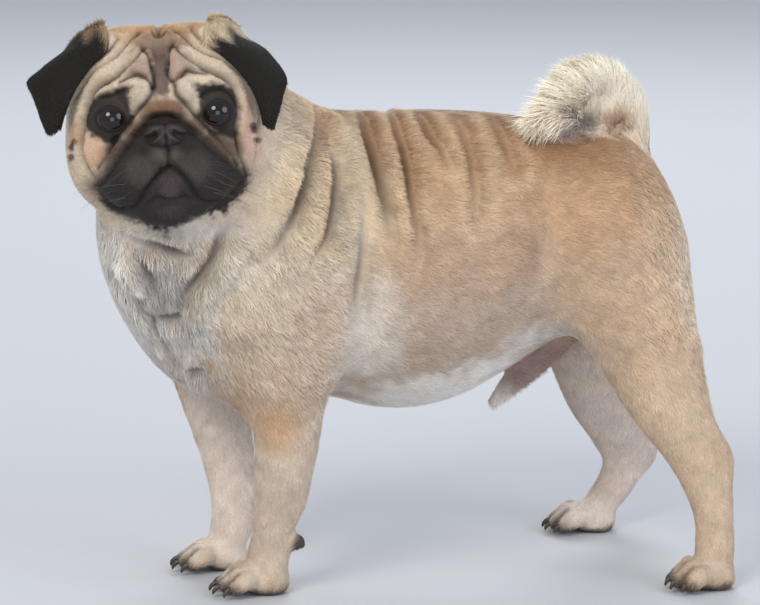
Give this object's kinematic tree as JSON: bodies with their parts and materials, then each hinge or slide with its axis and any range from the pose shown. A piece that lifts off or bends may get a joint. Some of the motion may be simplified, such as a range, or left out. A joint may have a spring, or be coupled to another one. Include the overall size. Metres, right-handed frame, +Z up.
{
  "type": "pug",
  "caption": "Life-size still model of a fawn pug standing on all fours, head turned to its left, tail curled over the back.",
  "frame": {"origin": "middle of the bounding box's footprint, on the floor that the soles stand on", "axes": "-X is the way the trunk faces, so +X is towards the tail; -Y is the dog's left side, to which the face is turned; +Z up"},
  "size_m": [0.4194, 0.21, 0.3502],
  "materials": {
    "fawn": "short dense fawn coat, matt",
    "cream": "longer cream coat, matt",
    "black": "short black velvet coat, matt",
    "nose": "black leather, moist",
    "eye": "dark brown, glossy and wet"
  },
  "bodies": {
    "root": {"torso": "fawn", "neck": "fawn", "foreleg_left": "fawn", "forepaw_left": "fawn", "foreleg_right": "fawn", "forepaw_right": "fawn", "hindleg_left": "fawn", "hindpaw_left": "fawn", "hindleg_right": "fawn", "hindpaw_right": "fawn", "head": "fawn", "nose": "nose", "eye_right": "eye", "eye_left": "eye", "ear_right": "black", "ear_left": "black", "tail": "cream"}
  },
  "joints": []
}
